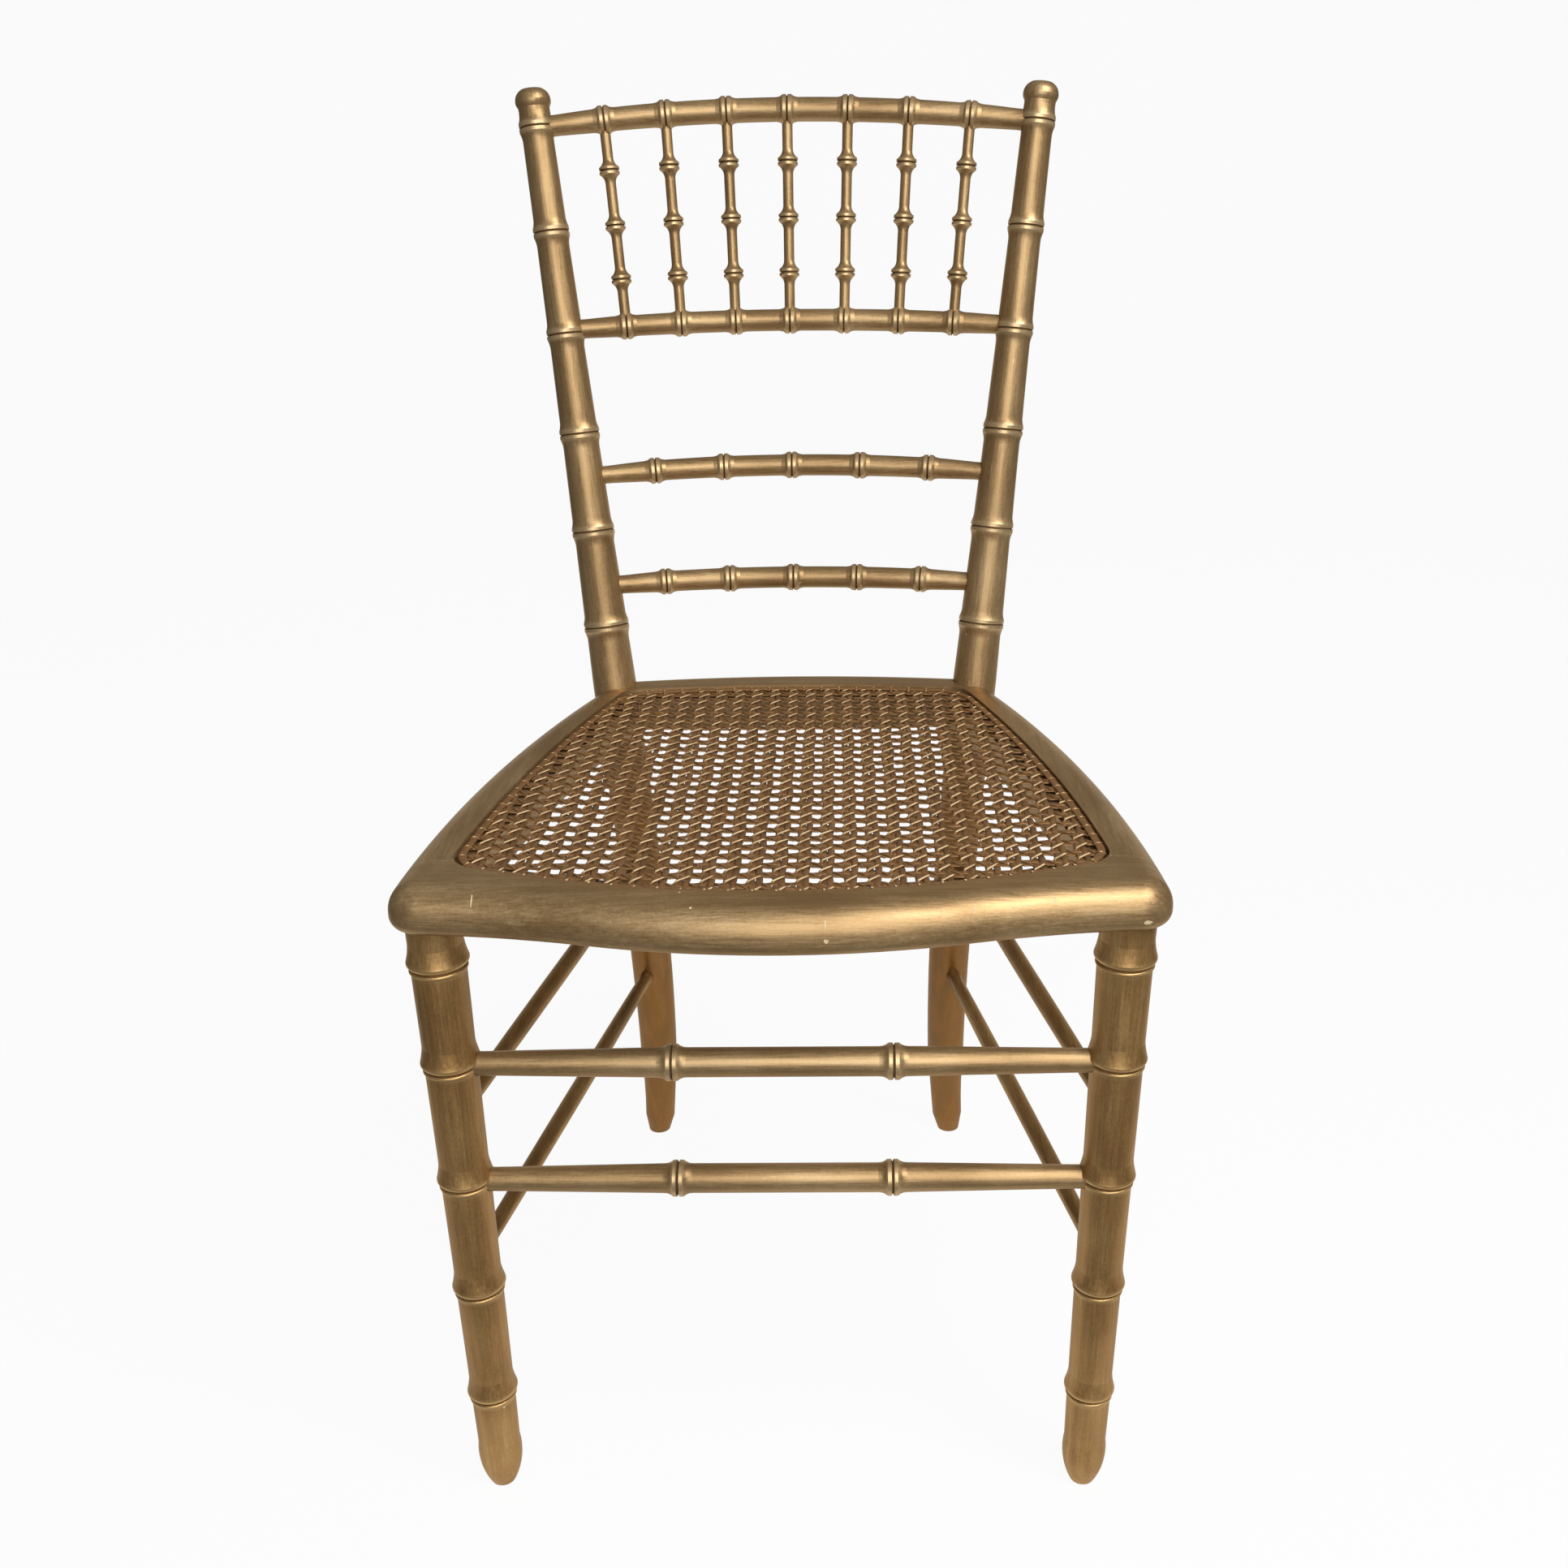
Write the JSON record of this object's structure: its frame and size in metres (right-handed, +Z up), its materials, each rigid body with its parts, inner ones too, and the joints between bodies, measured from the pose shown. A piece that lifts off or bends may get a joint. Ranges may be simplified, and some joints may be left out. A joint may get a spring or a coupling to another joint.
{
  "type": "faux bamboo side chair",
  "caption": "Gilt side chair of turned faux bamboo wood, with a spindle back, bowed rails, turned legs with stretchers and a caned seat.",
  "frame": {"origin": "middle of the bounding box in X and Y, on the floor", "axes": "+X to the right as seen from the front, +Y to the back of the chair, +Z up"},
  "size_m": [0.4644, 0.522, 0.8915],
  "materials": {
    "gilt_wood": "satin",
    "gilt_cane": "satin",
    "bare_wood": "matte"
  },
  "bodies": {
    "root": {"cane_binder": "gilt_cane", "cane_panel": "gilt_cane", "front_leg_left": "gilt_wood", "front_leg_right": "gilt_wood", "front_stretcher_lower": "gilt_wood", "front_stretcher_upper": "gilt_wood", "lower_cross_rail": "gilt_wood", "post_dowels": "bare_wood", "rear_post_left": "gilt_wood", "rear_post_right": "gilt_wood", "seat_back_rail": "gilt_wood", "seat_frame_dowels": "bare_wood", "seat_front_rail": "gilt_wood", "seat_side_rail_left": "gilt_wood", "seat_side_rail_right": "gilt_wood", "side_stretcher_left_lower": "gilt_wood", "side_stretcher_left_upper": "gilt_wood", "side_stretcher_right_lower": "gilt_wood", "side_stretcher_right_upper": "gilt_wood", "spindle_1": "gilt_wood", "spindle_2": "gilt_wood", "spindle_3": "gilt_wood", "spindle_4": "gilt_wood", "spindle_5": "gilt_wood", "spindle_6": "gilt_wood", "spindle_7": "gilt_wood", "spindle_rail": "gilt_wood", "top_rail": "gilt_wood", "upper_cross_rail": "gilt_wood"}
  },
  "joints": []
}
